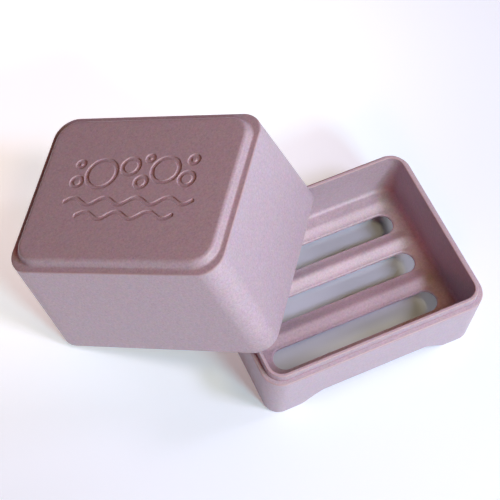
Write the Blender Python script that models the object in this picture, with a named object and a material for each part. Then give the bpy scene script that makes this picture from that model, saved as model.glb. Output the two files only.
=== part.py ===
"""Soap case in two mouldings of plant fibre plastic, lengths in metres, +Z up.

The tray stands on four corner feet. Its floor has three drain slots with low ridges between them, and its rim has
a ledge with an upstanding lip. The deep cover seats on the ledge, round the lip. Here it is taken off and leans
on the lip, with its low short edge on the table. The origin is at the centre of the case's footprint, on the table.
"""

import math

import bmesh
import bpy
from mathutils import Matrix, Vector

# The seam, where the cover's rim meets the tray's ledge
CASE_LENGTH = 0.105
CASE_WIDTH = 0.085
CASE_CORNER_RADIUS = 0.0096

# Tray walls
LEDGE_HEIGHT = 0.0334
LEDGE_WIDTH = 0.0022
LEDGE_EDGE_RADIUS = 0.0006
LIP_HEIGHT = 0.0036
LIP_THICKNESS = 0.0015
LIP_EDGE_RADIUS = 0.0004
TRAY_OUTER_DRAFT = 0.0024
TRAY_INNER_DRAFT = 0.0007
TRAY_FOOT_EDGE_RADIUS = 0.0009
SKIRT_THICKNESS = 0.0025
SKIRT_DRAFT = 0.0003

# Tray floor
FLOOR_HEIGHT = 0.0111
FLOOR_THICKNESS = 0.0020
FLOOR_FILLET = 0.0012
SHELF_WIDTH = 0.0055
SLOT_COUNT = 3
SLOT_WIDTH = 0.0105
SLOT_END_GAP = 0.0080

# Ridges between the slots. The outermost two run level to the long walls, as shelves
RIDGE_END_GAP = 0.0034
RIDGE_HEIGHT = 0.0020
RIDGE_CREST_RADIUS = 0.0016
RIDGE_END_LENGTH = 0.0030
RIDGE_ROOT = 0.0006
SLOT_MARGIN = 0.0007

# Arch under each long wall
FOOT_LENGTH = 0.01275
ARCH_HEIGHT = 0.0082
ARCH_CURVE_LENGTH = 0.0165

# Cover
COVER_DEPTH = 0.0575
COVER_DRAFT = 0.0028
COVER_CLEARANCE = 0.0003
COVER_RIM_EDGE_RADIUS = 0.0004
COVER_SHOULDER_EDGE_RADIUS = 0.0006
COVER_SHOULDER_CORNER_RADIUS = 0.0102
COVER_STEP_WIDTH = 0.0027
COVER_PANEL_RISE = 0.0034
COVER_PANEL_SLOPE_WIDTH = 0.0015
COVER_PANEL_EDGE_RADIUS = 0.0017
COVER_PANEL_CORNER_RADIUS = 0.0108
COVER_INNER_EDGE_RADIUS = 0.0010

# How the cover leans on the tray's lip
COVER_YAW = math.radians(-38.35)
LEAN_GAP = 0.0003
LEAN_REACH_SHARE = 0.9124  # of the cover's length, from its low edge to the lip
LEAN_PLACE_SHARE = -0.01  # of half the tray's length, along the back lip

# Faceting
CORNER_STEPS = 8
EDGE_STEPS = 2
FILLET_STEPS = 3
CURVE_STEPS = 8
CUT_OVERRUN = 0.002

# What follows from the sizes above
CASE_HEIGHT = LEDGE_HEIGHT + LIP_HEIGHT
COVER_WALL = LEDGE_WIDTH - COVER_CLEARANCE
COVER_DRAFT_SLOPE = COVER_DRAFT / COVER_DEPTH
LIP_TOP_INSET = LEDGE_WIDTH + LIP_HEIGHT * COVER_DRAFT_SLOPE
LIP_INNER_INSET = LIP_TOP_INSET + LIP_THICKNESS
FLOOR_INSET = LIP_INNER_INSET + TRAY_INNER_DRAFT
UNDERSIDE_HEIGHT = FLOOR_HEIGHT - FLOOR_THICKNESS
FLOOR_LENGTH = CASE_LENGTH - 2 * FLOOR_INSET
FLOOR_WIDTH = CASE_WIDTH - 2 * FLOOR_INSET
SLOT_LENGTH = FLOOR_LENGTH - 2 * SLOT_END_GAP
SLOT_PITCH = (FLOOR_WIDTH - 2 * SHELF_WIDTH) / SLOT_COUNT
RIDGE_LENGTH = FLOOR_LENGTH - 2 * RIDGE_END_GAP
ARCH_TOP_LENGTH = CASE_LENGTH - 2 * (FOOT_LENGTH + ARCH_CURVE_LENGTH)


def clear_scene():
    for old in list(bpy.data.objects):
        bpy.data.objects.remove(old, do_unlink=True)


def filleted(corners):
    """Points of a line through corners, each an (inset, height, plan radius) with an edge radius and its steps.

    An arc of the edge radius rounds the corner, and the plan radius changes evenly along the arc.
    """
    line = []
    for i, (inset, height, plan, radius, steps) in enumerate(corners):
        here = Vector((inset, height))
        if not radius or i in (0, len(corners) - 1):
            line.append((inset, height, plan))
            continue
        before = Vector(corners[i - 1][:2]) - here
        after = Vector(corners[i + 1][:2]) - here
        half = before.angle(after) / 2
        tangent = radius / math.tan(half)
        plan_start = plan + (corners[i - 1][2] - plan) * tangent / before.length
        plan_end = plan + (corners[i + 1][2] - plan) * tangent / after.length
        before.normalize()
        after.normalize()
        centre = here + (before + after).normalized() * (radius / math.sin(half))
        start = here + before * tangent - centre
        end = here + after * tangent - centre
        sweep = start.angle(end)
        for k in range(steps + 1):
            t = k / steps
            weight_start = math.sin((1 - t) * sweep) / math.sin(sweep)
            weight_end = math.sin(t * sweep) / math.sin(sweep)
            point = centre + start * weight_start + end * weight_end
            line.append((point.x, point.y, plan_start + (plan_end - plan_start) * t))
    return line


def plan_ring(bm, inset, height, corner_radius):
    """A rounded rectangle, drawn in from the case's outline by inset."""
    ring = []
    across = CASE_LENGTH / 2 - inset - corner_radius
    along = CASE_WIDTH / 2 - inset - corner_radius
    for quarter, (side_x, side_y) in enumerate(((1, 1), (-1, 1), (-1, -1), (1, -1))):
        for step in range(CORNER_STEPS + 1):
            angle = math.radians(90) * (quarter + step / CORNER_STEPS)
            x = side_x * across + corner_radius * math.cos(angle)
            y = side_y * along + corner_radius * math.sin(angle)
            ring.append(bm.verts.new((x, y, height)))
    return ring


def shell_of(line):
    """A closed body whose section is the line, swept round the case's outline and capped at both ends."""
    bm = bmesh.new()
    rings = [plan_ring(bm, inset, height, plan) for inset, height, plan in line]
    count = len(rings[0])
    for ring, following in zip(rings, rings[1:]):
        for i in range(count):
            j = (i + 1) % count
            bm.faces.new((ring[i], following[i], following[j], ring[j]))
    bm.faces.new(rings[0])
    bm.faces.new(reversed(rings[-1]))
    bmesh.ops.recalc_face_normals(bm, faces=bm.faces)
    return bm


def prism_of(outline, low, high, turned=None):
    """An upright prism on a plan outline of (x, y) points, turned afterwards if a matrix is given."""
    bm = bmesh.new()
    base = bm.faces.new([bm.verts.new((x, y, low)) for x, y in outline])
    grown = bmesh.ops.extrude_face_region(bm, geom=[base])
    top = [item for item in grown["geom"] if isinstance(item, bmesh.types.BMVert)]
    bmesh.ops.translate(bm, verts=top, vec=(0, 0, high - low))
    bmesh.ops.recalc_face_normals(bm, faces=bm.faces)
    if turned:
        bmesh.ops.transform(bm, matrix=turned, verts=bm.verts)
    return bm


def object_of(name, bm, material=None):
    mesh = bpy.data.meshes.new(name)
    bm.to_mesh(mesh)
    bm.free()
    made = bpy.data.objects.new(name, mesh)
    bpy.context.scene.collection.objects.link(made)
    if material:
        mesh.materials.append(material)
        mesh.shade_smooth()
        mesh.set_sharp_from_angle(angle=math.radians(35))
    else:
        made.hide_render = True
        made.display_type = "WIRE"
    return made


def join(target, operation, tool):
    modifier = target.modifiers.new(tool.name, "BOOLEAN")
    modifier.operation = operation
    modifier.solver = "EXACT"
    modifier.object = tool
    tool.parent = target


def moulded_plastic(name, colour, roughness):
    material = bpy.data.materials.new(name)
    material.use_nodes = True
    principled = material.node_tree.nodes["Principled BSDF"]
    principled.inputs["Base Color"].default_value = (*colour, 1)
    principled.inputs["Roughness"].default_value = roughness
    principled.inputs["Metallic"].default_value = 0
    return material


def tray_shell():
    """Floor, walls with ledge and lip, and the hollow skirt that the feet belong to."""
    skirt_inset = TRAY_OUTER_DRAFT + SKIRT_THICKNESS
    corners = (
        (FLOOR_INSET + 2 * FLOOR_FILLET, FLOOR_HEIGHT, 0, 0),
        (FLOOR_INSET, FLOOR_HEIGHT, FLOOR_FILLET, FILLET_STEPS),
        (LIP_INNER_INSET, CASE_HEIGHT, LIP_EDGE_RADIUS, EDGE_STEPS),
        (LIP_TOP_INSET, CASE_HEIGHT, LIP_EDGE_RADIUS, EDGE_STEPS),
        (LEDGE_WIDTH, LEDGE_HEIGHT, 0, 0),
        (0, LEDGE_HEIGHT, LEDGE_EDGE_RADIUS, EDGE_STEPS),
        (TRAY_OUTER_DRAFT, 0, TRAY_FOOT_EDGE_RADIUS, FILLET_STEPS),
        (skirt_inset, 0, 0, 0),
        (skirt_inset + SKIRT_DRAFT, UNDERSIDE_HEIGHT, 0, 0),
        (skirt_inset + SKIRT_THICKNESS, UNDERSIDE_HEIGHT, 0, 0),
    )
    # Every wall keeps its thickness round the corners of the plan
    return shell_of(
        filleted(
            [
                (inset, height, max(CASE_CORNER_RADIUS - inset, LIP_EDGE_RADIUS), radius, steps)
                for inset, height, radius, steps in corners
            ]
        )
    )


def ridge_drop(distance, slope):
    """How far a ridge's surface lies below its crest, at a distance from it: a straight slope off a rounded crest."""
    return slope * (math.hypot(distance, RIDGE_CREST_RADIUS) - RIDGE_CREST_RADIUS)


def ridge_body(centre, foot, shelf_edge=None):
    """A ridge along X on the floor, its foot that far from its crest line. With shelf_edge, the side away from
    the tray's middle stays level and runs on to there, inside the wall."""
    slope = RIDGE_HEIGHT / (math.hypot(foot, RIDGE_CREST_RADIUS) - RIDGE_CREST_RADIUS)
    reach = foot * (1 + RIDGE_ROOT / RIDGE_HEIGHT)
    outwards = math.copysign(1, centre)
    half = CURVE_STEPS // 2
    section = []
    for step in range(-half, half + 1):
        distance = reach * step / half
        section.append((centre + outwards * distance, ridge_drop(distance, slope)))
    if shelf_edge is not None:
        section = section[: half + 1] + [(outwards * shelf_edge, 0)]
    bm = bmesh.new()
    rings = []
    fall = RIDGE_HEIGHT + RIDGE_ROOT / 2
    for end in (-1, 1):
        stations = range(half + 1)
        for station in stations if end > 0 else reversed(stations):
            t = station / half
            x = end * (RIDGE_LENGTH / 2 - RIDGE_END_LENGTH * (1 - math.sin(t * math.radians(90))))
            sunk = fall * (1 - math.cos(t * math.radians(90)))
            ring = []
            for y, drop in section:
                z = max(RIDGE_HEIGHT - drop - sunk, -RIDGE_ROOT / 2)
                ring.append(bm.verts.new((x, y, FLOOR_HEIGHT + z)))
            for y in (section[-1][0], section[0][0]):
                ring.append(bm.verts.new((x, y, FLOOR_HEIGHT - RIDGE_ROOT)))
            rings.append(ring)
    for ring, following in zip(rings, rings[1:]):
        for i in range(len(ring)):
            j = (i + 1) % len(ring)
            bm.faces.new((ring[i], ring[j], following[j], following[i]))
    bm.faces.new(rings[0])
    bm.faces.new(reversed(rings[-1]))
    bmesh.ops.recalc_face_normals(bm, faces=bm.faces)
    return bm


def slot_outline():
    """A slot in plan: a rectangle with half round ends."""
    outline = []
    radius = SLOT_WIDTH / 2
    for end in (1, -1):
        for step in range(2 * CORNER_STEPS + 1):
            angle = math.radians(-90 + 180 * step / (2 * CORNER_STEPS))
            x = SLOT_LENGTH / 2 - radius + radius * math.cos(angle)
            outline.append((end * x, end * radius * math.sin(angle)))
    return outline


def arch_outline():
    """The arch seen from the front, (x, height): level in the middle, an S curve down to each foot."""
    rise = ARCH_HEIGHT + CUT_OVERRUN
    outline = []
    for side in (1, -1):
        curve = []
        for step in range(CURVE_STEPS + 1):
            t = step / CURVE_STEPS
            height = ARCH_HEIGHT - rise * (1 - math.cos(t * math.radians(180))) / 2
            curve.append((side * (ARCH_TOP_LENGTH / 2 + ARCH_CURVE_LENGTH * t), height))
        outline += curve if side > 0 else reversed(curve)
    return outline


def make_tray(material):
    tray = object_of("tray", tray_shell(), material)
    shelf_edge = FLOOR_WIDTH / 2 + SKIRT_THICKNESS / 2
    foot = (SLOT_PITCH - SLOT_WIDTH) / 2 - SLOT_MARGIN
    for number in range(SLOT_COUNT + 1):
        centre = SLOT_PITCH * (number - SLOT_COUNT / 2)
        outermost = number in (0, SLOT_COUNT)
        ridge = ridge_body(centre, foot, shelf_edge if outermost else None)
        join(tray, "UNION", object_of(f"ridge_{number + 1}", ridge))
    low = UNDERSIDE_HEIGHT - CUT_OVERRUN
    high = FLOOR_HEIGHT + RIDGE_HEIGHT + CUT_OVERRUN
    for number in range(SLOT_COUNT):
        slot = object_of(f"slot_{number + 1}", prism_of(slot_outline(), low, high))
        slot.location.y = SLOT_PITCH * (number - (SLOT_COUNT - 1) / 2)
        join(tray, "DIFFERENCE", slot)
    reach = CASE_WIDTH / 2 + CUT_OVERRUN
    upright = Matrix.Rotation(math.radians(90), 4, "X")
    arch = prism_of(arch_outline(), -reach, reach, upright)
    join(tray, "DIFFERENCE", object_of("arch", arch))
    return tray


def cover_shell():
    """The cover with its rim at height zero and its closed end up: walls, narrow step and raised panel."""
    step = COVER_DRAFT + COVER_STEP_WIDTH
    edge = step + COVER_PANEL_SLOPE_WIDTH
    top = COVER_DEPTH + COVER_PANEL_RISE
    wall = COVER_WALL
    rim_plan = CASE_CORNER_RADIUS
    shoulder_plan = COVER_SHOULDER_CORNER_RADIUS
    step_plan = COVER_PANEL_CORNER_RADIUS
    edge_plan = step_plan - COVER_PANEL_SLOPE_WIDTH
    panel_radius = COVER_PANEL_EDGE_RADIUS
    rim_radius = COVER_RIM_EDGE_RADIUS
    inner_radius = COVER_INNER_EDGE_RADIUS
    flat_plan = edge_plan - 2 * panel_radius
    inner_flat_plan = edge_plan - wall - 2 * inner_radius
    return shell_of(
        filleted(
            (
                (edge + 2 * panel_radius, top, max(flat_plan, rim_radius), 0, 0),
                (edge, top, edge_plan, panel_radius, FILLET_STEPS),
                (step, COVER_DEPTH, step_plan, 0, 0),
                (COVER_DRAFT, COVER_DEPTH, shoulder_plan, COVER_SHOULDER_EDGE_RADIUS, EDGE_STEPS),
                (0, 0, rim_plan, rim_radius, EDGE_STEPS),
                (wall, 0, rim_plan - wall, rim_radius, EDGE_STEPS),
                (COVER_DRAFT + wall, COVER_DEPTH - wall, shoulder_plan - wall, inner_radius, EDGE_STEPS),
                (step + wall, COVER_DEPTH - wall, step_plan - wall, 0, 0),
                (edge + wall, top - wall, edge_plan - wall, inner_radius, EDGE_STEPS),
                (edge + wall + 2 * inner_radius, top - wall, max(inner_flat_plan, rim_radius), 0, 0),
            )
        )
    )


def leaning_pose():
    """Where the cover lies: its low short edge on the table, its back wall's inner edge on the tray's back lip."""
    reach = LEAN_REACH_SHARE * CASE_LENGTH
    tilt = math.asin((CASE_HEIGHT + LEAN_GAP) / reach)
    turn = Matrix.Rotation(COVER_YAW, 4, "Z") @ Matrix.Rotation(-tilt, 4, "Y")
    lip_point = Vector((LEAN_PLACE_SHARE * CASE_LENGTH / 2, CASE_WIDTH / 2 - LIP_TOP_INSET, CASE_HEIGHT + LEAN_GAP))
    from_centre = Vector((reach - CASE_LENGTH / 2, CASE_WIDTH / 2 - COVER_WALL, 0))
    return Matrix.Translation(lip_point - turn.to_3x3() @ from_centre) @ turn


def make_cover(material):
    seat = bpy.data.objects.new("cover_seat", None)
    bpy.context.scene.collection.objects.link(seat)
    seat.matrix_world = leaning_pose()
    cover = object_of("cover", cover_shell(), material)
    cover.parent = seat
    bpy.context.view_layer.update()
    lowest = min((seat.matrix_world @ vertex.co).z for vertex in cover.data.vertices)
    seat.location.z -= lowest
    return cover, seat


def centre_on_footprint(pieces, carried):
    """Moves everything so that the case's footprint is centred on the origin."""
    bpy.context.view_layer.update()
    points = [piece.matrix_world @ vertex.co for piece in pieces for vertex in piece.data.vertices]
    case = bpy.data.objects.new("soap_case", None)
    bpy.context.scene.collection.objects.link(case)
    for top in carried:
        top.parent = case
    for axis in (0, 1):
        side = [point[axis] for point in points]
        case.location[axis] = -(min(side) + max(side)) / 2


def main():
    clear_scene()
    plastic_tray = moulded_plastic("tray_fibre_plastic", (0.50, 0.41, 0.49), 0.55)
    plastic_cover = moulded_plastic("cover_fibre_plastic", (0.50, 0.41, 0.49), 0.55)
    tray = make_tray(plastic_tray)
    cover, seat = make_cover(plastic_cover)
    centre_on_footprint((tray, cover), (tray, seat))


main()
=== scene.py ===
"""Looks of a soap case in lilac plant fibre plastic: a slotted tray, and a deep cover that leans on it.

Lengths are in metres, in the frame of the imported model. Both pieces are numpy surfaces: a section line
carried round the case's outline, and level faces laid between that line's ends.
"""

import math

import bmesh
import bpy
import numpy as np
from mathutils import Matrix, Quaternion, Vector


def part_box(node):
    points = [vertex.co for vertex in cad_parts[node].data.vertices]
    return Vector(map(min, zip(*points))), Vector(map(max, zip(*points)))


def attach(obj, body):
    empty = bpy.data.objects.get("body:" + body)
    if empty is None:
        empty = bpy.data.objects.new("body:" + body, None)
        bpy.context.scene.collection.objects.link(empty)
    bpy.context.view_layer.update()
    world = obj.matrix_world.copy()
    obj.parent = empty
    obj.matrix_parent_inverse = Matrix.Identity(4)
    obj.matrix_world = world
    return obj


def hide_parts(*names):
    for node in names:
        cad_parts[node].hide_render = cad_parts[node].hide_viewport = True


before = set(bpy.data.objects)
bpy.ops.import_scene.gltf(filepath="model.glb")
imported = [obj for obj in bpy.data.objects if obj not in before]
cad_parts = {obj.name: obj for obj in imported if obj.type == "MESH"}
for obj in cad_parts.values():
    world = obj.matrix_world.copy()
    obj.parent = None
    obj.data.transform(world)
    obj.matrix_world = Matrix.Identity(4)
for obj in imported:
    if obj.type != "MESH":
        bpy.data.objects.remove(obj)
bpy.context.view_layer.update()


# Camera: a long lens that looks down over the tray's front left corner
VIEW_AZIMUTH = math.radians(-27.21)
VIEW_ELEVATION = math.radians(60.54)
VIEW_ROLL = math.radians(2.889)
VIEW_TARGET = Vector((0.01605, 0.00943, 0))
VIEW_DISTANCE = 0.72813
LENS_MM = 113.735
SENSOR_WIDTH_MM = 36

towards_camera = Vector(
    (
        math.sin(VIEW_AZIMUTH) * math.cos(VIEW_ELEVATION),
        -math.cos(VIEW_AZIMUTH) * math.cos(VIEW_ELEVATION),
        math.sin(VIEW_ELEVATION),
    )
)
camera = bpy.data.objects.new("camera", bpy.data.cameras.new("camera"))
camera.data.lens = LENS_MM
camera.data.sensor_width = SENSOR_WIDTH_MM
camera.location = VIEW_TARGET + VIEW_DISTANCE * towards_camera
level_view = towards_camera.to_track_quat("Z", "Y")
camera.rotation_euler = (level_view @ Quaternion((0, 0, 1), VIEW_ROLL)).to_euler()
bpy.context.scene.collection.objects.link(camera)
bpy.context.scene.camera = camera


# Table top and studio light: a table top that glows with painted light, left out under the tray, and small
# lamps in front and to the right, cool but for the highest, with weak reddish ones at the front left and
# behind. Far off, where no lamp reaches, table and backdrop only look white and don't light the case.
FLOOR_HALF_SIZE = 4
FLOOR_COLOUR = (0.68, 0.78, 0.90, 1)
FLOOR_ROUGHNESS = 0.6
# The painted glow is strongest at the back left, where it lifts the soft shadows that fall there.
GLOW_COLOUR = (0.92, 0.91, 0.87, 1)
GLOW_MOST = 0.68
GLOW_LEAST = 0.23
GLOW_CENTRE = (-0.09, 0.13, 0)
GLOW_STRETCH = (0.6, 1, 1)
GLOW_FULL_RADIUS = 0.05
GLOW_FADED_RADIUS = 0.20
GLOW_EDGE_WIDTH = 0.0015
GLOW_CORNER_RADIUS = 0.0072
GLOW_EDGE_INSET = 0.0065
# A painted pool of light lies under the tray's right end, bluer. It is weaker there at the front.
PAINTED_STRAY_COLOUR = (0.85, 0.84, 1.0, 1)
PAINTED_STRAY_START = 0.032
PAINTED_STRAY_FULL = 0.040
PAINTED_STRAY_SLANT = 0.215
PAINTED_STRAY_STRENGTH = 0.32
PAINTED_STRAY_FRONT_SHARE = 0.45
PAINTED_STRAY_FRONT_START = 0.002
PAINTED_STRAY_FRONT_FULL = 0.010
# A painted pool of light lies under the tray, inside the front arch.
ARCH_GLOW_START = 0.0155
ARCH_GLOW_FULL = 0.0210
ARCH_GLOW_LEFT_END = -0.040
ARCH_GLOW_LEFT_FULL = 0.0
ARCH_GLOW_RIGHT_FULL = 0.020
ARCH_GLOW_RIGHT_END = 0.033
ARCH_GLOW_STRENGTH = 0.15
# Far off the table only looks white.
FAR_START = 0.20
FAR_FULL = 0.90
FAR_STRENGTH = 0.62
LAMP_DISTANCE = 1.3
LAMPS = (
    # name, azimuth, elevation, size, watts, colour
    ("key_lamp", 14, 35, 0.25, 8.5, (0.62, 1.0, 0.97)),
    ("left_lamp", -20, 35, 0.25, 3.3, (1.0, 0.20, 0.17)),
    ("right_lamp", 80, 35, 0.25, 3.4, (1.0, 0.83, 0.99)),
    ("window_lamp", 40, 50, 0.25, 7.5, (0.81, 0.75, 1.0)),
    ("top_lamp", 30, 65, 0.25, 3.0, (1.0, 0.74, 0.35)),
    ("back_lamp", 180, 55, 0.8, 1.7, (1.0, 0.14, 0.02)),
)
ROOM_COLOUR = (1.0, 0.95, 0.90, 1)
ROOM_STRENGTH = 0.03
BACKDROP_COLOUR = (0.93, 0.93, 0.92, 1)

tray_low, tray_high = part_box("tray")


def add_node(tree, kind, inputs, **settings):
    """A new node with those settings, its inputs set to values or linked to sockets, by name or number."""
    node = tree.nodes.new(kind)
    for name, setting in settings.items():
        setattr(node, name, setting)
    for place, value in inputs.items():
        if isinstance(value, bpy.types.NodeSocket):
            tree.links.new(value, node.inputs[place])
        else:
            node.inputs[place].default_value = value
    return node


def calculate(tree, operation, *values):
    """The result of a math node."""
    return add_node(tree, "ShaderNodeMath", dict(enumerate(values)), operation=operation).outputs["Value"]


def combine(tree, operation, *values):
    """The node of a vector calculation."""
    return add_node(tree, "ShaderNodeVectorMath", dict(enumerate(values)), operation=operation)


def soft_step(tree, value, start, end):
    """Zero up to the start and one from the end on, with an S-shaped rise between them."""
    inputs = {"Value": value, "From Min": start, "From Max": end}
    return add_node(tree, "ShaderNodeMapRange", inputs, interpolation_type="SMOOTHSTEP").outputs["Result"]


def blend(tree, share, first, second):
    """A colour that goes from the first to the second as the share goes from zero to one."""
    mix = tree.nodes.new("ShaderNodeMix")
    mix.data_type = "RGBA"
    colours = [socket for socket in mix.inputs if socket.type == "RGBA"]
    for socket, value in zip((mix.inputs["Factor"], *colours), (share, first, second)):
        if isinstance(value, bpy.types.NodeSocket):
            tree.links.new(value, socket)
        else:
            socket.default_value = value
    return next(socket for socket in mix.outputs if socket.type == "RGBA")


def direction_from(azimuth, elevation):
    """Unit vector towards a place: azimuth from the front to the right, and elevation, in degrees."""
    turn, rise = math.radians(azimuth), math.radians(elevation)
    return Vector((math.sin(turn) * math.cos(rise), -math.cos(turn) * math.cos(rise), math.sin(rise)))


def table_material():
    """White with a painted glow outside the tray's outline: a soft step with the stretched distance from one
    place.

    The distance to that outline is the length of what remains of a point's offset beyond its corners'
    centres. The painted light under the tray's right end is a soft step with the offset to the right, less
    a share of any offset to the back, and falls to a share of itself towards the front. The painted light
    under the front arch rises with the offset to the front and fades to the left and right. What is added
    far off, in a soft step with the distance from the middle, is only seen and gives no light.
    """
    material = bpy.data.materials.new("table_white")
    material.use_nodes = True
    tree = material.node_tree
    place = add_node(tree, "ShaderNodeTexCoord", {}).outputs["Object"]
    away = combine(tree, "SUBTRACT", place, GLOW_CENTRE).outputs["Vector"]
    away = combine(tree, "MULTIPLY", away, GLOW_STRETCH).outputs["Vector"]
    away = combine(tree, "LENGTH", away).outputs["Value"]
    # Painted glow: strongest at the back left, where it lifts the soft shadows.
    faded = soft_step(tree, away, GLOW_FULL_RADIUS, GLOW_FADED_RADIUS)
    strength = calculate(tree, "MULTIPLY_ADD", faded, GLOW_LEAST - GLOW_MOST, GLOW_MOST)
    far = soft_step(tree, combine(tree, "LENGTH", place).outputs["Value"], FAR_START, FAR_FULL)
    seen = add_node(tree, "ShaderNodeLightPath", {}).outputs["Is Camera Ray"]
    far = calculate(tree, "MULTIPLY", far, seen)
    strength = calculate(tree, "MULTIPLY_ADD", far, FAR_STRENGTH, strength)
    middle = (tray_low + tray_high) / 2
    reach = (tray_high - tray_low) / 2 - Vector((GLOW_EDGE_INSET, GLOW_EDGE_INSET, 0))
    offset = combine(tree, "SUBTRACT", place, (middle.x, middle.y, 0)).outputs["Vector"]
    rightward = combine(tree, "DOT_PRODUCT", offset, (1, 0, 0)).outputs["Value"]
    frontward = combine(tree, "DOT_PRODUCT", offset, (0, -1, 0)).outputs["Value"]
    # Painted light under the tray's right end.
    backward = calculate(tree, "MINIMUM", frontward, 0)
    slanted = calculate(tree, "MULTIPLY_ADD", backward, PAINTED_STRAY_SLANT, rightward)
    weaker = soft_step(tree, frontward, PAINTED_STRAY_FRONT_START, PAINTED_STRAY_FRONT_FULL)
    weaker = calculate(tree, "MULTIPLY_ADD", weaker, PAINTED_STRAY_FRONT_SHARE - 1, 1)
    painted_stray = calculate(tree, "MULTIPLY", soft_step(tree, slanted, PAINTED_STRAY_START, PAINTED_STRAY_FULL), weaker)
    # Painted light under the tray, inside the front arch.
    painted_arch_glow = soft_step(tree, frontward, ARCH_GLOW_START, ARCH_GLOW_FULL)
    sides = ((ARCH_GLOW_LEFT_END, ARCH_GLOW_LEFT_FULL), (ARCH_GLOW_RIGHT_END, ARCH_GLOW_RIGHT_FULL))
    for end, full in sides:
        painted_arch_glow = calculate(tree, "MULTIPLY", painted_arch_glow, soft_step(tree, rightward, end, full))
    # Inside the tray's outline the painted glow is left out.
    offset = combine(tree, "ABSOLUTE", offset).outputs["Vector"]
    centre = (reach.x - GLOW_CORNER_RADIUS, reach.y - GLOW_CORNER_RADIUS, 0)
    beyond = combine(tree, "SUBTRACT", offset, centre).outputs["Vector"]
    beyond = combine(tree, "MAXIMUM", beyond, (0, 0, 0)).outputs["Vector"]
    distance = combine(tree, "LENGTH", beyond).outputs["Value"]
    outside = soft_step(tree, distance, GLOW_CORNER_RADIUS - GLOW_EDGE_WIDTH, GLOW_CORNER_RADIUS)
    inside = calculate(tree, "SUBTRACT", 1, outside)
    painted_stray = calculate(tree, "MULTIPLY", painted_stray, inside)
    painted_arch_glow = calculate(tree, "MULTIPLY", painted_arch_glow, inside)
    strength = calculate(tree, "MULTIPLY", strength, outside)
    strength = calculate(tree, "MULTIPLY_ADD", painted_stray, PAINTED_STRAY_STRENGTH, strength)
    strength = calculate(tree, "MULTIPLY_ADD", painted_arch_glow, ARCH_GLOW_STRENGTH, strength)
    surface = tree.nodes["Principled BSDF"].inputs
    surface["Base Color"].default_value = FLOOR_COLOUR
    surface["Roughness"].default_value = FLOOR_ROUGHNESS
    tree.links.new(blend(tree, painted_stray, GLOW_COLOUR, PAINTED_STRAY_COLOUR), surface["Emission Color"])
    tree.links.new(strength, surface["Emission Strength"])
    return material


corners = [(x * FLOOR_HALF_SIZE, y * FLOOR_HALF_SIZE, 0) for x, y in ((-1, -1), (1, -1), (1, 1), (-1, 1))]
table = bpy.data.objects.new("table_top", bpy.data.meshes.new("table_top"))
table.data.from_pydata(corners, [], [(0, 1, 2, 3)])
table.data.materials.append(table_material())
bpy.context.scene.collection.objects.link(table)

for name, azimuth, elevation, size, watts, colour in LAMPS:
    lamp = bpy.data.objects.new(name, bpy.data.lights.new(name, "AREA"))
    lamp.data.size = size
    lamp.data.energy = watts
    lamp.data.color = colour
    lamp.location = direction_from(azimuth, elevation) * LAMP_DISTANCE
    lamp.rotation_euler = lamp.location.to_track_quat("Z", "Y").to_euler()
    bpy.context.scene.collection.objects.link(lamp)

room = bpy.data.worlds.new("studio")
room.use_nodes = True
room_tree = room.node_tree
room_light = room_tree.nodes["Background"]
room_light.inputs["Color"].default_value = ROOM_COLOUR
room_light.inputs["Strength"].default_value = ROOM_STRENGTH
backdrop = add_node(room_tree, "ShaderNodeBackground", {"Color": BACKDROP_COLOUR}).outputs["Background"]
seen = add_node(room_tree, "ShaderNodeLightPath", {}).outputs["Is Camera Ray"]
either = {0: seen, 1: room_light.outputs["Background"], 2: backdrop}
mixed = add_node(room_tree, "ShaderNodeMixShader", either).outputs["Shader"]
room_tree.links.new(mixed, room_tree.nodes["World Output"].inputs["Surface"])
bpy.context.scene.world = room
bpy.context.scene.view_settings.view_transform = "Standard"


# Fibre plastic: lilac plastic filled with ground plant fibre, moulded satin, for both pieces. Short fibres
# lie in its surface, pale, dark and a few blue, over a fine mottle. The upper outer edges get a painted warm
# tint for warm light and shade on them, and inner corners get painted shade.
LILAC = (0.45, 0.36, 0.43, 1)
MOTTLE_SIZE = 0.0009
MOTTLE_CONTRAST = 0.53
CLOUD_SIZE = 0.0045
CLOUD_CONTRAST = 0.14
TINT_SIZE = 0.0014
TINT_CONTRAST = 0.24
GRAIN_SIZE = 0.00028
NOISE_ROUGHNESS = 0.6
RELIEF_HEIGHT = 0.000042
MOTTLE_RELIEF = 0.5
GRAIN_RELIEF = 0.5
FIBRE_RELIEF = 0.3
SATIN_ROUGHNESS = 0.42
ROUGHNESS_CONTRAST = 0.22
SHARPEST_BEND = 1 / 0.0005
# Painted warm light and shade on the upper outer edges.
PAINTED_WARM_EDGE_COLOUR = (0.46, 0.335, 0.355, 1)
PAINTED_WARM_EDGE_BENDS = (0.1, 1.1)
PAINTED_EDGE_FROM_HEIGHT = 0.020
# Painted shade in the inner corners.
INNER_CORNER_SHADE_COLOUR = (0.30, 0.17, 0.22, 1)
INNER_CORNER_SHADE_BENDS = (-0.4, -1.4)
FIBRES = (
    # cell size, half length, half width, colour, share of the colour
    (0.0016, 0.00060, 0.00010, (0.66, 0.60, 0.54, 1), 0.50),
    (0.0022, 0.00070, 0.00009, (0.20, 0.13, 0.14, 1), 0.50),
    (0.0060, 0.00025, 0.00018, (0.16, 0.28, 0.38, 1), 0.60),
)


def new_group(name, inputs, outputs):
    """An empty node group with those sockets, each (name, kind), and the sockets of its two end nodes."""
    group = bpy.data.node_groups.new(name, "ShaderNodeTree")
    for title, kind in inputs:
        group.interface.new_socket(title, in_out="INPUT", socket_type="NodeSocket" + kind)
    for title, kind in outputs:
        group.interface.new_socket(title, in_out="OUTPUT", socket_type="NodeSocket" + kind)
    return group, group.nodes.new("NodeGroupInput").outputs, group.nodes.new("NodeGroupOutput").inputs


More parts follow.
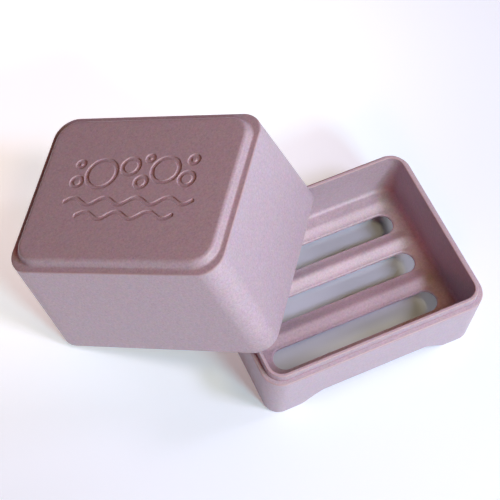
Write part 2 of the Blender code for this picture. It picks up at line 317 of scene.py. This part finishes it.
def fibre_group():
    """Node group for short straight fibres that lie in the surface, one to each cell of a Voronoi pattern.

    A fibre's direction is its cell's random colour less one half, pressed flat against the surface. The
    mask fades with the distance to the fibre's middle line, and with the depth of the cell's point in the
    plastic.
    """
    inputs = (("Cell Size", "Float"), ("Half Length", "Float"), ("Half Width", "Float"))
    group, given, result = new_group("short_fibres", inputs, (("Fibre", "Float"),))
    spot = add_node(group, "ShaderNodeTexCoord", {}).outputs
    scale = calculate(group, "DIVIDE", 1, given["Cell Size"])
    cell = add_node(group, "ShaderNodeTexVoronoi", {"Vector": spot["Object"], "Scale": scale}).outputs
    offset = combine(group, "SUBTRACT", spot["Object"], cell["Position"]).outputs["Vector"]
    lean = combine(group, "SUBTRACT", cell["Color"], (0.5, 0.5, 0.5)).outputs["Vector"]
    buried = combine(group, "PROJECT", offset, spot["Normal"]).outputs["Vector"]
    upright = combine(group, "PROJECT", lean, spot["Normal"]).outputs["Vector"]
    level_offset = combine(group, "SUBTRACT", offset, buried).outputs["Vector"]
    level_lean = combine(group, "SUBTRACT", lean, upright).outputs["Vector"]
    direction = combine(group, "NORMALIZE", level_lean).outputs["Vector"]
    along = combine(group, "DOT_PRODUCT", level_offset, direction).outputs["Value"]
    least = calculate(group, "MULTIPLY", given["Half Length"], -1)
    limits = {"Value": along, "Min": least, "Max": given["Half Length"]}
    reach = add_node(group, "ShaderNodeClamp", limits).outputs["Result"]
    nearest = add_node(group, "ShaderNodeVectorMath", {0: direction, "Scale": reach}, operation="SCALE")
    away = combine(group, "DISTANCE", level_offset, nearest.outputs["Vector"]).outputs["Value"]
    depth = combine(group, "LENGTH", buried).outputs["Value"]
    mask = soft_step(group, away, given["Half Width"], 0)
    shallow = soft_step(group, depth, given["Cell Size"], 0)
    group.links.new(calculate(group, "MULTIPLY", mask, shallow), result[0])
    return group


def plastic_group(fibres):
    """Node group for the plastic's surface: its colour, its roughness and its normal, from one colour.

    Each contrast is the full swing of a noise that stands at one half on average.
    """
    outputs = (("Colour", "Color"), ("Roughness", "Float"), ("Normal", "Vector"))
    group, given, result = new_group("fibre_plastic", (("Plastic Colour", "Color"),), outputs)
    place = add_node(group, "ShaderNodeTexCoord", {}).outputs["Object"]

    def noise(size, detail):
        """A noise whose largest lumps have about that size."""
        inputs = {"Vector": place, "Scale": 1 / size, "Detail": detail, "Roughness": NOISE_ROUGHNESS}
        return add_node(group, "ShaderNodeTexNoise", inputs).outputs

    mottle = noise(MOTTLE_SIZE, 2)["Fac"]
    swings = (
        (noise(CLOUD_SIZE, 1)["Color"], CLOUD_CONTRAST),
        (mottle, MOTTLE_CONTRAST),
        (noise(TINT_SIZE, 1)["Color"], TINT_CONTRAST),
    )
    colour = given["Plastic Colour"]
    for swing, contrast in swings:
        least = (1 - contrast / 2,) * 3
        factor = combine(group, "MULTIPLY_ADD", swing, (contrast,) * 3, least).outputs["Vector"]
        colour = combine(group, "MULTIPLY", colour, factor).outputs["Vector"]
    height = calculate(group, "MULTIPLY", mottle, MOTTLE_RELIEF)
    height = calculate(group, "MULTIPLY_ADD", noise(GRAIN_SIZE, 1)["Fac"], GRAIN_RELIEF, height)
    for cell_size, half_length, half_width, fibre_colour, share in FIBRES:
        inputs = {"Cell Size": cell_size, "Half Length": half_length, "Half Width": half_width}
        fibre = group.nodes.new("ShaderNodeGroup")
        fibre.node_tree = fibres
        for name, value in inputs.items():
            fibre.inputs[name].default_value = value
        shown = calculate(group, "MULTIPLY", fibre.outputs["Fibre"], share)
        colour = blend(group, shown, colour, fibre_colour)
        height = calculate(group, "MULTIPLY_ADD", shown, FIBRE_RELIEF, height)
    bend = add_node(group, "ShaderNodeAttribute", {}, attribute_name="bend").outputs["Fac"]
    # Painted warm light and shade on the upper outer edges.
    colour = blend(group, soft_step(group, bend, *PAINTED_WARM_EDGE_BENDS), colour, PAINTED_WARM_EDGE_COLOUR)
    # Painted shade in the inner corners.
    colour = blend(group, soft_step(group, bend, *INNER_CORNER_SHADE_BENDS), colour, INNER_CORNER_SHADE_COLOUR)
    shift = SATIN_ROUGHNESS - ROUGHNESS_CONTRAST / 2
    roughness = calculate(group, "MULTIPLY_ADD", mottle, ROUGHNESS_CONTRAST, shift)
    inputs = {"Height": height, "Strength": 1.0, "Distance": RELIEF_HEIGHT}
    relief = add_node(group, "ShaderNodeBump", inputs)
    for socket, value in zip(result, (colour, roughness, relief.outputs["Normal"])):
        group.links.new(value, socket)
    return group


def store_bend(mesh):
    """Stores how sharply the surface bends at each point, from -1, an inner corner, to 1, an outer edge.

    Along an edge from a point, the bend is twice the fall below the point's tangent plane over the edge's
    length squared. The point keeps that of its edges which bends the most, as a share of the sharpest
    bend. Outer edges count only from the height from which they get the painted warm tint.
    """
    points = np.zeros(len(mesh.vertices) * 3)
    normals = np.zeros(len(mesh.vertices) * 3)
    ends = np.zeros(len(mesh.edges) * 2, int)
    mesh.vertices.foreach_get("co", points)
    mesh.vertices.foreach_get("normal", normals)
    mesh.edges.foreach_get("vertices", ends)
    points, normals, ends = points.reshape(-1, 3), normals.reshape(-1, 3), ends.reshape(-1, 2)
    highest, lowest = np.zeros(len(points)), np.zeros(len(points))
    for here, there in (ends.T, ends.T[::-1]):
        step = points[there] - points[here]
        bend = -2 * (normals[here] * step).sum(1) / (step**2).sum(1)
        np.maximum.at(highest, here, bend)
        np.minimum.at(lowest, here, bend)
    highest[points[:, 2] < PAINTED_EDGE_FROM_HEIGHT] = 0
    strongest = np.where(highest > -lowest, highest, lowest) / SHARPEST_BEND
    mesh.attributes.new("bend", "FLOAT", "POINT").data.foreach_set("value", np.clip(strongest, -1, 1))


surface_group = plastic_group(fibre_group())


def fibre_plastic(name, colour):
    """A plastic of that colour, with the shared surface."""
    material = bpy.data.materials.new(name)
    material.use_nodes = True
    tree = material.node_tree
    surface = tree.nodes.new("ShaderNodeGroup")
    surface.node_tree = surface_group
    surface.inputs["Plastic Colour"].default_value = colour
    plastic = tree.nodes["Principled BSDF"].inputs
    tree.links.new(surface.outputs["Colour"], plastic["Base Color"])
    tree.links.new(surface.outputs["Roughness"], plastic["Roughness"])
    tree.links.new(surface.outputs["Normal"], plastic["Normal"])
    return material


# Tray: one injection moulding in plastic filled with plant fibre, with satin walls. The mould forms three
# drain slots with soft ridges between them, a ledge with an upstanding lip that the cover seats on, and
# corner feet with an arch under each long wall.
CASE_LENGTH = 0.105
CASE_WIDTH = 0.085
CASE_CORNER_RADIUS = 0.0096
CASE_HEIGHT = 0.037
LEDGE_HEIGHT = 0.0334
LEDGE_WIDTH = 0.0022
LEDGE_EDGE_RADIUS = 0.0006
LIP_THICKNESS = 0.0015
LIP_LEAN = 0.000175
LIP_EDGE_RADIUS = 0.0004
LIP_ROOT_RADIUS = 0.00025
TRAY_OUTER_DRAFT = 0.0024
TRAY_INNER_DRAFT = 0.0007
FOOT_EDGE_RADIUS = 0.0009
ARCH_EDGE_RADIUS = 0.0004
SKIRT_THICKNESS = 0.0025
SKIRT_DRAFT = 0.0003
SKIRT_EDGE_RADIUS = 0.0004
SKIRT_ROOT_RADIUS = 0.0006
FLOOR_HEIGHT = 0.0111
FLOOR_THICKNESS = 0.0020
FLOOR_FILLET = 0.0020
SHELF_WIDTH = 0.0055
SLOT_COUNT = 3
SLOT_WIDTH = 0.0105
SLOT_END_GAP = 0.0080
SLOT_EDGE_RADIUS = 0.0007
SLOT_MARGIN = 0.0007
RIDGE_END_GAP = 0.0022
RIDGE_HEIGHT = 0.0019
RIDGE_CREST_RADIUS = 0.0012
RIDGE_HOLLOWNESS = 1.35
RIDGE_END_LENGTH = 0.0072
FOOT_LENGTH = 0.01275
ARCH_HEIGHT = 0.0082
ARCH_CURVE_LENGTH = 0.0165
ARCH_FALL = 0.0102
ARCH_END_SOFTNESS = 0.0006
SMALLEST_PLAN_RADIUS = 0.0004
STATION_SPACING = 0.0010
CORNER_STEPS = 16
SLOT_EDGE_STEPS = 5
SLOT_APRON_STEPS = 24
CREST_END_STEPS = 4
WELD_DISTANCE = 2e-6

half_case = np.array((CASE_LENGTH, CASE_WIDTH)) / 2
corner_centre = half_case - CASE_CORNER_RADIUS
lip_top_inset = LEDGE_WIDTH + LIP_LEAN
lip_inner_inset = lip_top_inset + LIP_THICKNESS
floor_inset = lip_inner_inset + TRAY_INNER_DRAFT
slot_half_length = CASE_LENGTH / 2 - floor_inset - SLOT_END_GAP
slot_pitch = 2 * (CASE_WIDTH / 2 - floor_inset - SHELF_WIDTH) / SLOT_COUNT
tray_middle = np.array(((tray_low.x + tray_high.x) / 2, (tray_low.y + tray_high.y) / 2, 0))


def even_stops(marks, spacing):
    """Stops from the first mark to the last at about that spacing, with every mark among them."""
    runs = []
    for start, end in zip(marks, marks[1:]):
        runs.append(np.linspace(start, end, round((end - start) / spacing) + 1)[:-1])
    return np.append(np.concatenate(runs), marks[-1])


def outline_stations(long_stops, short_stops):
    """Stations anticlockwise round a rounded rectangle, from the foot of its right side.

    A station is a share of the way from the middle to the corners' centres, and the direction that the
    outline faces there. On a side one share runs through the stops, and round a corner only the direction
    turns.
    """
    turn = np.linspace(0, math.pi / 2, CORNER_STEPS + 1)[1:-1]
    shares = []
    facings = []
    for quarter, stops in enumerate((short_stops, long_stops, short_stops, long_stops)):
        share = np.concatenate((np.stack((np.ones_like(stops), stops), 1), np.ones((len(turn), 2))))
        turning = np.stack((np.cos(turn), np.sin(turn)), 1)
        facing = np.concatenate((np.tile((1.0, 0.0), (len(stops), 1)), turning))
        cosine, sine = ((1, 0), (0, 1), (-1, 0), (0, -1))[quarter]
        quarter_turn = np.array(((cosine, sine), (-sine, cosine)))
        shares.append(share @ quarter_turn)
        facings.append(facing @ quarter_turn)
    return np.concatenate(shares), np.concatenate(facings)


def outline_points(stations, inset, plan_radius):
    """Plan points at every station of the outline drawn in by the inset, with corners of that radius."""
    share, facing = stations
    inset = np.asarray(inset)[..., None]
    radius = np.asarray(plan_radius)[..., None]
    spread = (slice(None),) + (None,) * (inset.ndim - 2)
    return share[spread] * (half_case - inset - radius) + facing[spread] * radius


def rounded_section(corners, count):
    """A section line through corners, at that many stations, as arrays of inset, height and plan radius.

    A corner is (inset, height, plan radius, edge radius, arc steps, run steps): an arc of the edge
    radius, touching both straight runs, replaces it. The run before it has that many steps, closest
    together at its ends. The first and last corner only give the direction in which the line begins and
    ends.
    """
    places = np.stack([np.stack([np.broadcast_to(v, count) for v in corner[:3]], 1) for corner in corners])
    line = []
    for i in range(1, len(corners) - 1):
        radius, arc_steps, run_steps = corners[i][3:]
        here = places[i]
        back, on = places[i - 1] - here, places[i + 1] - here
        back_length = np.linalg.norm(back[:, :2], axis=1, keepdims=True)
        on_length = np.linalg.norm(on[:, :2], axis=1, keepdims=True)
        back, on = back / back_length, on / on_length
        half = np.arccos((back[:, :2] * on[:, :2]).sum(1, keepdims=True)) / 2
        tangent = radius / np.tan(half)
        start, end = here + back * tangent, here + on * tangent
        middle = back[:, :2] + on[:, :2]
        middle /= np.linalg.norm(middle, axis=1, keepdims=True)
        centre = here[:, :2] + middle * (radius / np.sin(half))
        if i > 1:
            steps = np.arange(1, run_steps) / run_steps
            eased = ((1 - np.cos(steps * math.pi)) / 2)[None, :, None]
            line.append(last[:, None] + (start - last)[:, None] * eased)
        t = (np.arange(arc_steps + 1) / arc_steps)[None, :, None]
        sweep = (math.pi - 2 * half)[:, None]
        from_start = (start[:, :2] - centre)[:, None] * np.sin((1 - t) * sweep)
        from_end = (end[:, :2] - centre)[:, None] * np.sin(t * sweep)
        arc = centre[:, None] + (from_start + from_end) / np.sin(sweep)
        plan = start[:, None, 2:] + (end - start)[:, None, 2:] * t
        line.append(np.concatenate((arc, plan), 2))
        last = end
    return np.moveaxis(np.concatenate(line, 1), 2, 0)


def grid_faces(rows, columns, closed_rows=False):
    """Quads of a grid of rows by columns of points, with a last row of quads back to the first if closed."""
    index = np.arange(rows * columns).reshape(rows, columns)
    if closed_rows:
        index = np.concatenate((index, index[:1]))
    return np.stack((index[:-1, :-1], index[1:, :-1], index[1:, 1:], index[:-1, 1:]), -1).reshape(-1, 4)


def welded_piece(name, surfaces):
    """A piece whose closed mesh is made of surfaces, each (points, faces), welded where their edges meet."""
    points = []
    faces = []
    for surface_points, surface_faces in surfaces:
        faces += (surface_faces + sum(len(earlier) for earlier in points)).tolist()
        points.append(surface_points)
    mesh = bpy.data.meshes.new(name)
    mesh.from_pydata(np.concatenate(points).tolist(), [], faces)
    bm = bmesh.new()
    bm.from_mesh(mesh)
    bmesh.ops.remove_doubles(bm, verts=bm.verts, dist=WELD_DISTANCE)
    bmesh.ops.recalc_face_normals(bm, faces=bm.faces)
    bm.to_mesh(mesh)
    bm.free()
    mesh.shade_smooth()
    piece = bpy.data.objects.new(name, mesh)
    bpy.context.scene.collection.objects.link(piece)
    return piece


def soft_floor(value, softness):
    """The value where it is above zero, and zero elsewhere, with the bend between them eased.

    It is half the sum of the value and the root of its square plus the softness squared.
    """
    return (value + np.sqrt(value**2 + softness**2)) / 2


def floor_surface(x, y):
    """Height of the tray's floor: hollow slopes off rounded crests, which sink at both ends.

    A slope's height is a power of what remains of the way to its foot. The ends sink in half a cosine
    wave. The outermost crests run level to the long walls, as shelves.
    """
    foot = (slot_pitch - SLOT_WIDTH) / 2 - SLOT_MARGIN
    slope_length = math.hypot(foot, RIDGE_CREST_RADIUS) - RIDGE_CREST_RADIUS
    crests = slot_pitch * (np.arange(SLOT_COUNT + 1) - SLOT_COUNT / 2)
    inside = np.clip(y, crests[0], crests[-1])
    away = np.abs(inside[..., None] - crests).min(-1)
    share = (np.hypot(away, RIDGE_CREST_RADIUS) - RIDGE_CREST_RADIUS) / slope_length
    ridge = RIDGE_HEIGHT * np.clip(1 - share, 0, 1) ** RIDGE_HOLLOWNESS
    ridge_end = CASE_LENGTH / 2 - floor_inset - RIDGE_END_GAP
    end_share = np.clip((np.abs(x) - ridge_end + RIDGE_END_LENGTH) / RIDGE_END_LENGTH, 0, 1)
    return FLOOR_HEIGHT + ridge * (1 + np.cos(end_share * math.pi)) / 2


def arch_surface(x):
    """Height of a long wall's lower edge: level in the middle, half a cosine wave down to each foot."""
    share = np.clip((half_case[0] - FOOT_LENGTH - np.abs(x)) / ARCH_CURVE_LENGTH, 0, 1)
    rise = ARCH_HEIGHT - ARCH_FALL * (1 + np.cos(share * math.pi)) / 2
    return soft_floor(rise, ARCH_END_SOFTNESS)


def tray_wall_section(stations):
    """The section at each station: floor fillet, inner wall, lip, ledge, outer wall, foot and skirt."""
    underside = FLOOR_HEIGHT - FLOOR_THICKNESS
    floor_edge_inset = floor_inset + FLOOR_FILLET
    x, y = outline_points(stations, floor_edge_inset, CASE_CORNER_RADIUS - floor_edge_inset).T
    floor = floor_surface(x, y)
    wall_foot = lip_inner_inset + TRAY_INNER_DRAFT * (CASE_HEIGHT - floor) / (CASE_HEIGHT - FLOOR_HEIGHT)
    on_long_wall = np.abs(stations[1][:, 1]) == 1
    lower_edge = np.where(on_long_wall, arch_surface(x), 0)
    outer_foot = TRAY_OUTER_DRAFT * (1 - lower_edge / LEDGE_HEIGHT)
    raised = np.clip(lower_edge / ARCH_HEIGHT, 0, 1)[:, None]
    edge_radius = FOOT_EDGE_RADIUS + (ARCH_EDGE_RADIUS - FOOT_EDGE_RADIUS) * raised
    skirt_inset = TRAY_OUTER_DRAFT + SKIRT_THICKNESS
    corners = (
        (wall_foot + SKIRT_THICKNESS, floor, 0, 0, 0),
        (wall_foot, floor, FLOOR_FILLET, 6, 0),
        (lip_inner_inset, CASE_HEIGHT, LIP_EDGE_RADIUS, 5, 16),
        (lip_top_inset, CASE_HEIGHT, LIP_EDGE_RADIUS, 5, 3),
        (LEDGE_WIDTH, LEDGE_HEIGHT, LIP_ROOT_RADIUS, 3, 5),
        (0, LEDGE_HEIGHT, LEDGE_EDGE_RADIUS, 5, 4),
        (outer_foot, lower_edge, edge_radius, 5, 20),
        (skirt_inset, lower_edge, SKIRT_EDGE_RADIUS, 4, 3),
        (skirt_inset + SKIRT_DRAFT, underside, SKIRT_ROOT_RADIUS, 3, 5),
        (skirt_inset + SKIRT_THICKNESS, underside, 0, 0, 0),
    )
    sized = []
    for inset, height, radius, arc_steps, run_steps in corners:
        plan = np.maximum(CASE_CORNER_RADIUS - inset, SMALLEST_PLAN_RADIUS)
        sized.append((inset, height, plan, radius, arc_steps, run_steps))
    return rounded_section(sized, len(x))


def cell_loops(ring, crest_x, crest_height):
    """Loops round the three slots, anticlockwise: stretches of the ring, closed by the crests' lines."""
    crest = slot_pitch / 2
    slack = slot_pitch / 1000
    y = ring[:, 1]
    right = ring[:, 0] > 0
    heights = np.broadcast_to(crest_height, len(crest_x))
    crest_line = np.stack((crest_x, np.full_like(crest_x, crest), heights), 1)
    leftwards = crest_line[::-1]
    mirrored = np.array((1, -1, 1))
    back = np.concatenate((ring[y > crest - slack], crest_line))
    start = np.flatnonzero((y < slack - crest) & ~right)[0]
    front_ring = np.roll(ring, -start, 0)
    front = np.concatenate((front_ring[front_ring[:, 1] < slack - crest], leftwards * mirrored))
    between = np.abs(y) < crest + slack
    right_ring, left_ring = ring[between & right], ring[between & ~right]
    middle = np.concatenate((right_ring, leftwards, left_ring, crest_line * mirrored))
    return front, middle, back


def slot_surface(top_loop, under_loop, slot_y):
    """The floor round one slot: in from the top loop to its edge, down its wall, out to the under loop.

    A slot's outline is its middle line grown by half its width, so that its ends are round.
    """
    underside = FLOOR_HEIGHT - FLOOR_THICKNESS
    reach = slot_half_length - SLOT_WIDTH / 2
    beyond = np.sign(top_loop[:, 0]) * np.maximum(np.abs(top_loop[:, 0]) - reach, 0)
    outward = np.stack((beyond, top_loop[:, 1] - slot_y), 1)
    outward /= np.linalg.norm(outward, axis=1, keepdims=True)
    spine = np.stack((top_loop[:, 0] - beyond, np.full(len(top_loop), slot_y)), 1)
    turn = np.linspace(0, math.pi / 2, SLOT_EDGE_STEPS + 1)
    width = SLOT_WIDTH / 2 + SLOT_EDGE_RADIUS * (1 - np.sin(turn))
    sunk = SLOT_EDGE_RADIUS * (1 - np.cos(turn))
    share = np.linspace(1, 0, SLOT_APRON_STEPS + 1)[:-1, None]
    edge = (spine + outward * width[0])[:, None]
    apron = edge + (top_loop[:, None, :2] - edge) * share
    apron_height = floor_surface(apron[..., 0], apron[..., 1])
    apron_height[:, 0] = top_loop[:, 2]
    edge_height = floor_surface(edge[..., 0], edge[..., 1]) - sunk
    rim = spine[:, None] + outward[:, None] * width[:, None]
    under_edge = rim[:, ::-1]
    under = under_edge[:, -1:] + (under_loop[:, None, :2] - under_edge[:, -1:]) * (1 - share[::-1])
    under[:, -1] = under_loop[:, :2]
    level = np.broadcast_to(underside, under.shape[:2])
    low_height = np.broadcast_to(underside + sunk[::-1], rim.shape[:2])
    plan = np.concatenate((apron, rim, under_edge, under), 1)
    height = np.concatenate((apron_height, edge_height, low_height, level), 1)
    points = np.concatenate((plan, height[..., None]), 2)
    return points.reshape(-1, 3), grid_faces(*height.shape, closed_rows=True)


def make_tray():
    """The tray: the wall's section carried round the outline, and the floor round each slot."""
    straight = corner_centre
    crest = slot_pitch / 2
    long_stops = even_stops((-straight[0], 0, straight[0]), STATION_SPACING) / straight[0]
    short_stops = even_stops((-straight[1], -crest, crest, straight[1]), STATION_SPACING) / straight[1]
    stations = outline_stations(long_stops, short_stops)
    inset, height, plan = tray_wall_section(stations)
    wall = np.concatenate((outline_points(stations, inset, plan), height[..., None]), 2)
    floor_end = half_case[0] - floor_inset - FLOOR_FILLET
    ends = np.linspace(straight[0], floor_end, CREST_END_STEPS + 1)[1:-1]
    crest_x = np.concatenate((-ends[::-1], long_stops * straight[0], ends))
    top_loops = cell_loops(wall[:, 0], crest_x, floor_surface(crest_x, crest))
    under_loops = cell_loops(wall[:, -1], crest_x, FLOOR_HEIGHT - FLOOR_THICKNESS)
    surfaces = [(wall.reshape(-1, 3), grid_faces(*height.shape, closed_rows=True))]
    for number in range(SLOT_COUNT):
        slot_y = slot_pitch * (number - (SLOT_COUNT - 1) / 2)
        surfaces.append(slot_surface(top_loops[number], under_loops[number], slot_y))
    placed = [(points + tray_middle, faces) for points, faces in surfaces]
    return welded_piece("tray_moulding", placed)


tray = make_tray()
store_bend(tray.data)
tray.data.materials.append(fibre_plastic("tray_fibre_plastic", LILAC))
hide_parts("tray")
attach(tray, "tray")


# Cover: a second injection moulding in the same plastic, with an even wall. Its closed end has a narrow step
# and a raised panel with a soft edge, which carries a shallow moulded ornament of waves and bubbles.
COVER_DEPTH = 0.0575
COVER_DRAFT = 0.0028
COVER_WALL = 0.0019
COVER_RIM_EDGE_RADIUS = 0.0004
COVER_SHOULDER_EDGE_RADIUS = 0.0006
COVER_SHOULDER_CORNER_RADIUS = 0.0102
COVER_STEP_WIDTH = 0.0027
COVER_STEP_ROOT_RADIUS = 0.0007
COVER_PANEL_RISE = 0.0034
COVER_PANEL_SLOPE_WIDTH = 0.0015
COVER_PANEL_EDGE_RADIUS = 0.0021
COVER_PANEL_CORNER_RADIUS = 0.0108
COVER_INNER_EDGE_RADIUS = 0.0010
COVER_YAW = math.radians(-38.35)
LEAN_GAP = 0.0003
LEAN_REACH = 0.9124 * CASE_LENGTH
LEAN_PLACE = -0.01 * CASE_LENGTH / 2
ORNAMENT_HALF_LENGTH = 0.0325
ORNAMENT_HALF_WIDTH = 0.0190
ORNAMENT_STEPS = 5  # between two stations of the wall
PANEL_APRON_STEPS = 8
CLOSED_END_STEPS = 12
COVER_STATION_SPACING = 0.0020
STROKE_DEPTH = 0.0005
STROKE_HALF_WIDTH = 0.0009
STROKE_SLOPE = 0.00025
WAVE_HEIGHT = 0.0034
WAVE_LENGTH = 0.0150
WAVES = ((-0.030, 0.030, -0.0065), (-0.0225, 0.0225, -0.0135))
BUBBLES = (
    (-0.0165, 0.0075, 0.0070),
    (-0.0035, 0.0110, 0.0040),
    (0.0035, 0.0030, 0.0027),
    (0.0135, 0.0090, 0.0062),
    (0.0245, 0.0045, 0.0033),
    (0.0255, 0.0140, 0.0020),
    (0.0048, 0.0150, 0.0015),
    (-0.0275, 0.0035, 0.0024),
    (-0.0280, 0.0125, 0.0016),
)


def cover_section(count):
    """The section at each station: panel edge, slope, step, shoulder and wall, outside and then inside."""
    step = COVER_DRAFT + COVER_STEP_WIDTH
    edge = step + COVER_PANEL_SLOPE_WIDTH
    top = COVER_DEPTH + COVER_PANEL_RISE
    wall = COVER_WALL
    rim_plan = CASE_CORNER_RADIUS
    shoulder_plan = COVER_SHOULDER_CORNER_RADIUS
    step_plan = COVER_PANEL_CORNER_RADIUS
    edge_plan = step_plan - COVER_PANEL_SLOPE_WIDTH
    inner_radius = COVER_INNER_EDGE_RADIUS
    corners = (
        (edge + edge_plan, top, 0, 0, 0, 0),
        (edge, top, edge_plan, COVER_PANEL_EDGE_RADIUS, 10, 0),
        (step, COVER_DEPTH, step_plan, COVER_STEP_ROOT_RADIUS, 4, 4),
        (COVER_DRAFT, COVER_DEPTH, shoulder_plan, COVER_SHOULDER_EDGE_RADIUS, 5, 4),
        (0, 0, rim_plan, COVER_RIM_EDGE_RADIUS, 5, 24),
        (wall, 0, rim_plan - wall, COVER_RIM_EDGE_RADIUS, 5, 3),
        (COVER_DRAFT + wall, COVER_DEPTH - wall, shoulder_plan - wall, inner_radius, 5, 16),
        (step + wall, COVER_DEPTH - wall, step_plan - wall, inner_radius, 4, 3),
        (edge + wall, top - wall, edge_plan - wall, inner_radius, 5, 3),
        (edge + edge_plan, top - wall, 0, 0, 0, 0),
    )
    return rounded_section(corners, count)


def ornament_depth(x, y):
    """How deep the ornament is sunk: level strokes with sloped sides along waves and round bubbles.

    The distance to a wave is that to its sine curve, taken square to it, and past its ends that to its
    end point. The distance to a bubble is that to its circle.
    """
    distances = []
    for start, end, level in WAVES:
        inside = np.clip(x, start, end)
        phase = 2 * math.pi * (inside - start) / WAVE_LENGTH
        climb = WAVE_HEIGHT / 2 * 2 * math.pi / WAVE_LENGTH * np.cos(phase)
        above = y - level - WAVE_HEIGHT / 2 * np.sin(phase)
        distances.append(np.hypot(above / np.sqrt(1 + climb**2), x - inside))
    for across, along, radius in BUBBLES:
        distances.append(np.abs(np.hypot(x - across, y - along) - radius))
    side = (STROKE_HALF_WIDTH - np.min(distances, 0)) / STROKE_SLOPE
    share = np.clip(side + 0.5, 0, 1)
    return STROKE_DEPTH * share**2 * (3 - 2 * share)


def panel_surfaces(ring, long_steps, short_steps):
    """The raised panel's level face: a close grid that carries the ornament, and quads out to the ring.

    A side of the grid has the steps of a side of the ring, from corner to corner, each split into
    several. So the innermost faces of the frame have many corners.
    """
    height = ring[0, 2]
    rolled = np.roll(ring[:, :2], CORNER_STEPS // 2, 0)
    corner = np.array((ORNAMENT_HALF_LENGTH, ORNAMENT_HALF_WIDTH))
    sides = np.array((long_steps, short_steps)) * ORNAMENT_STEPS
    across, along = (np.linspace(-half, half, steps + 1) for half, steps in zip(corner, sides))
    x, y = np.meshgrid(across, along, indexing="ij")
    grid = np.stack((x, y, height - ornament_depth(x, y)), -1)
    index = np.arange(x.size).reshape(x.shape)
    rim = np.concatenate((index[-1, :-1], index[:0:-1, -1], index[0, :0:-1], index[:-1, 0]))
    frame_points = grid.reshape(-1, 3)[rim[::ORNAMENT_STEPS], :2]
    share = np.linspace(0, 1, PANEL_APRON_STEPS + 1)[:-1, None]
    plan = rolled[:, None] + (frame_points - rolled)[:, None] * share
    apron = np.concatenate((plan, np.full((*plan.shape[:2], 1), height)), 2)
    inner = x.size + np.arange(len(rolled)) * len(share) + len(share) - 1
    steps_on = np.arange(len(rolled))[:, None] * ORNAMENT_STEPS + np.arange(ORNAMENT_STEPS, -1, -1)
    fine = rim[steps_on % len(rim)]
    joint = np.concatenate((np.stack((inner, np.roll(inner, -1)), 1), fine), 1)
    points = np.concatenate((grid.reshape(-1, 3), apron.reshape(-1, 3)))
    return (
        (points, joint),
        (grid.reshape(-1, 3), grid_faces(*x.shape)),
        (apron.reshape(-1, 3), grid_faces(*plan.shape[:2], closed_rows=True)),
    )


def closed_end_inside(ring, height):
    """The inside of the closed end: level quads from the ring in to the case's long middle line."""
    reach = half_case[0] - half_case[1]
    middle = np.stack((np.clip(ring[:, 0], -reach, reach), np.zeros(len(ring))), 1)
    share = np.linspace(0, 1, CLOSED_END_STEPS + 1)
    plan = ring[:, None] + (middle - ring)[:, None] * share[None, :, None]
    points = np.concatenate((plan, np.full((*plan.shape[:2], 1), height)), 2)
    return points.reshape(-1, 3), grid_faces(*plan.shape[:2], closed_rows=True)


def leaning_pose(points):
    """Matrix that leans the cover: low short edge on the table, back wall's inner edge on the back lip."""
    lip_height = CASE_HEIGHT + LEAN_GAP
    tilt = math.asin(lip_height / LEAN_REACH)
    turn = Matrix.Rotation(COVER_YAW, 4, "Z") @ Matrix.Rotation(-tilt, 4, "Y")
    on_lip = Vector((LEAN_PLACE, half_case[1] - lip_top_inset, lip_height)) + Vector(tray_middle)
    from_centre = Vector((LEAN_REACH - half_case[0], half_case[1] - COVER_WALL, 0))
    pose = Matrix.Translation(on_lip - turn.to_3x3() @ from_centre) @ turn
    lowest = (points @ np.array(pose.to_3x3()).T)[:, 2].min() + pose.translation.z
    return Matrix.Translation((0, 0, -lowest)) @ pose


def make_cover():
    """The cover: the wall's section carried round the outline and both faces of its closed end, leaned."""
    long_stops, short_stops = (
        even_stops((-half, 0, half), COVER_STATION_SPACING) / half for half in corner_centre
    )
    stations = outline_stations(long_stops, short_stops)
    inset, height, plan = cover_section(len(stations[0]))
    wall = np.concatenate((outline_points(stations, inset, plan), height[..., None]), 2)
    side_steps = [len(stops) - 1 + CORNER_STEPS for stops in (long_stops, short_stops)]
    surfaces = [
        (wall.reshape(-1, 3), grid_faces(*height.shape, closed_rows=True)),
        closed_end_inside(wall[:, -1, :2], wall[0, -1, 2]),
        *panel_surfaces(wall[:, 0], *side_steps),
    ]
    pose = np.array(leaning_pose(wall.reshape(-1, 3)))
    placed = [(points @ pose[:3, :3].T + pose[:3, 3], faces) for points, faces in surfaces]
    return welded_piece("cover_moulding", placed)


cover = make_cover()
store_bend(cover.data)
cover.data.materials.append(fibre_plastic("cover_fibre_plastic", LILAC))
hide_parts("cover")
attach(cover, "cover")
